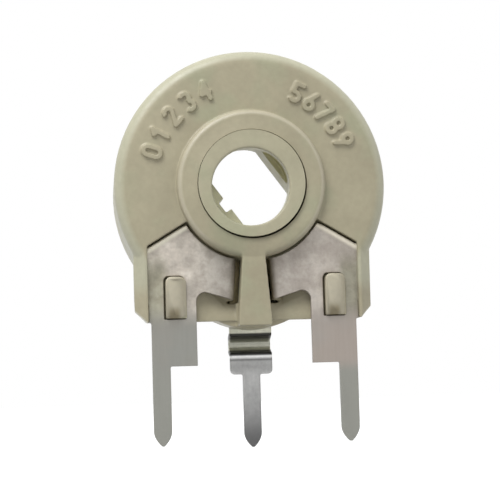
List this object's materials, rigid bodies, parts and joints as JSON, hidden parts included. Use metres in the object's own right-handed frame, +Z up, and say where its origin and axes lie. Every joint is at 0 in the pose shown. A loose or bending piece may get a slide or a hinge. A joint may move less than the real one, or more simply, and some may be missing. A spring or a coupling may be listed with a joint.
{
  "type": "trimmer potentiometer",
  "caption": "Round carbon trimmer potentiometer standing on flat solder pins, with a turning rotor and a keyed adjusting hole.",
  "frame": {"origin": "on the surface of the circuit board that the pins stand in, midway between the two outer pins, in the middle of their sheet's thickness", "axes": "+X along the row of pins, to the right as the terminal plates are seen; +Y along the rotor's axis, from the terminal plates to the dial; +Z up from the board"},
  "size_m": [0.0146, 0.0067, 0.0214],
  "materials": {
    "moulded_plastic": "beige moulded plastic, satin",
    "rotor_plastic": "beige moulded plastic, satin",
    "tinned_steel": "dull mottled tin plating",
    "spring_bronze": "plain rolled spring sheet",
    "phenolic_paper": "brown pressed board",
    "carbon_film": "matt black printed film",
    "silver_paste": "dull printed metal film"
  },
  "bodies": {
    "housing": {"base_housing": "moulded_plastic", "front_cover": "moulded_plastic", "resistive_plate": "phenolic_paper", "carbon_track": "carbon_film", "left_end_pad": "silver_paste", "right_end_pad": "silver_paste", "left_terminal": "tinned_steel", "right_terminal": "tinned_steel", "middle_terminal": "tinned_steel"},
    "rotor": {"rotor": "rotor_plastic", "wiper_spring": "spring_bronze"}
  },
  "joints": [
    {"name": "rotor_turn", "type": "hinge", "parent": "housing", "child": "rotor", "pos_m": [0, 0, 0.01], "axis": [0, 1, 0], "range_deg": [0, 260]}
  ]
}
